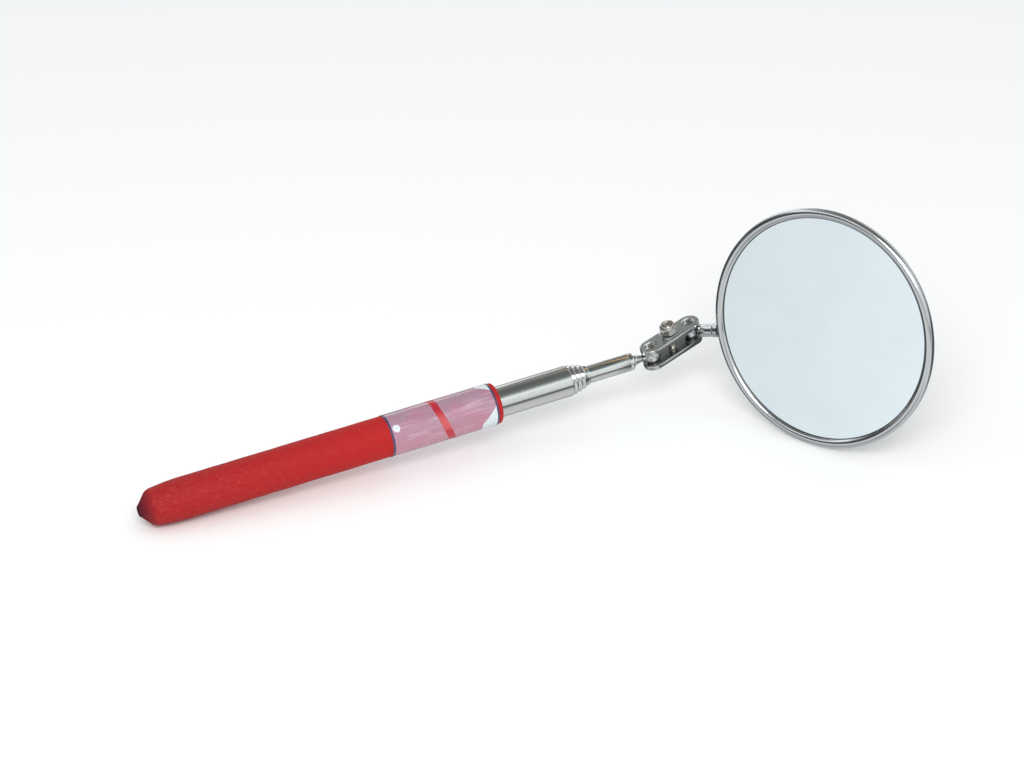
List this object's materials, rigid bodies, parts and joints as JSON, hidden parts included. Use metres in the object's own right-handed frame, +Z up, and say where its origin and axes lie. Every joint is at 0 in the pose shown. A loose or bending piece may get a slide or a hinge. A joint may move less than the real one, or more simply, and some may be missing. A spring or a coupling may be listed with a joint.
{
  "type": "telescoping inspection mirror",
  "caption": "Round inspection mirror on a double ball-joint clamp, with a telescoping polished tube and a red cushion grip.",
  "frame": {"origin": "middle of the bounding box, on the floor that the butt of the grip and the rim of the mirror rest on", "axes": "+X from the butt of the grip towards the clamp along the floor, +Z up, +Y to the left of the handle seen from the butt"},
  "size_m": [0.2506, 0.0822, 0.0817],
  "materials": {
    "grip": "satin, scuffed, soft vinyl",
    "label": "clear tinted film, glossy",
    "outer_tube": "polished",
    "tube_end_plug": "turned",
    "nose_bush": "turned",
    "middle_tube": "polished",
    "middle_friction_sleeve": "rolled strip",
    "middle_nose_bush": "turned",
    "inner_rod": "polished",
    "inner_friction_sleeve": "rolled strip",
    "handle_ball_stud": "polished",
    "clamp_plate_upper": "polished, stamped",
    "clamp_plate_lower": "polished, stamped",
    "tension_screw": "plated",
    "lock_nut": "plated",
    "nut_insert": "moulded nylon",
    "mirror_stem": "polished",
    "stem_ferrule": "polished",
    "mirror_cup": "polished, spun",
    "backing_pad": "foam, matt",
    "mirror_glass": "silvered on the back"
  },
  "bodies": {
    "handle": {"grip": "grip", "label": "label", "outer_tube": "outer_tube", "tube_end_plug": "tube_end_plug", "nose_bush": "nose_bush"},
    "middle_section": {"middle_tube": "middle_tube", "middle_friction_sleeve": "middle_friction_sleeve", "middle_nose_bush": "middle_nose_bush"},
    "inner_section": {"inner_rod": "inner_rod", "inner_friction_sleeve": "inner_friction_sleeve"},
    "handle_ball": {"handle_ball_stud": "handle_ball_stud"},
    "clamp": {"clamp_plate_upper": "clamp_plate_upper", "clamp_plate_lower": "clamp_plate_lower", "tension_screw": "tension_screw"},
    "tension_nut": {"lock_nut": "lock_nut", "nut_insert": "nut_insert"},
    "mirror_arm": {"mirror_stem": "mirror_stem"},
    "mirror_head": {"stem_ferrule": "stem_ferrule", "mirror_cup": "mirror_cup", "backing_pad": "backing_pad", "mirror_glass": "mirror_glass"}
  },
  "joints": [
    {"name": "middle_slide", "type": "slide", "parent": "handle", "child": "middle_section", "axis": [0.9967, 0, 0.0817], "range_m": [0, 0.118]},
    {"name": "inner_slide", "type": "slide", "parent": "middle_section", "child": "inner_section", "axis": [0.9967, 0, 0.0817], "range_m": [0, 0.13]},
    {"name": "handle_ball_spin", "type": "hinge", "parent": "inner_section", "child": "handle_ball", "pos_m": [0.05924, 0.03375, 0.02105], "axis": [0.9967, 0, 0.0817], "continuous": true},
    {"name": "clamp_swing", "type": "hinge", "parent": "handle_ball", "child": "clamp", "pos_m": [0.05924, 0.03375, 0.02105], "axis": [-0.2366, 0, 0.9716], "range_deg": [-102.5, 77.5]},
    {"name": "tension_nut_turn", "type": "hinge", "parent": "clamp", "child": "tension_nut", "pos_m": [0.0673, 0.03558, 0.02301], "axis": [-0.2366, 0, 0.9716], "range_deg": [-180, 180]},
    {"name": "mirror_swing", "type": "hinge", "parent": "clamp", "child": "mirror_arm", "pos_m": [0.07536, 0.03742, 0.02497], "axis": [-0.2366, 0, 0.9716], "range_deg": [-23.5, 156.5]},
    {"name": "mirror_spin", "type": "hinge", "parent": "mirror_arm", "child": "mirror_head", "pos_m": [0.07536, 0.03742, 0.02497], "axis": [0.5242, -0.7979, 0.2975], "range_deg": [-180, 180]}
  ]
}
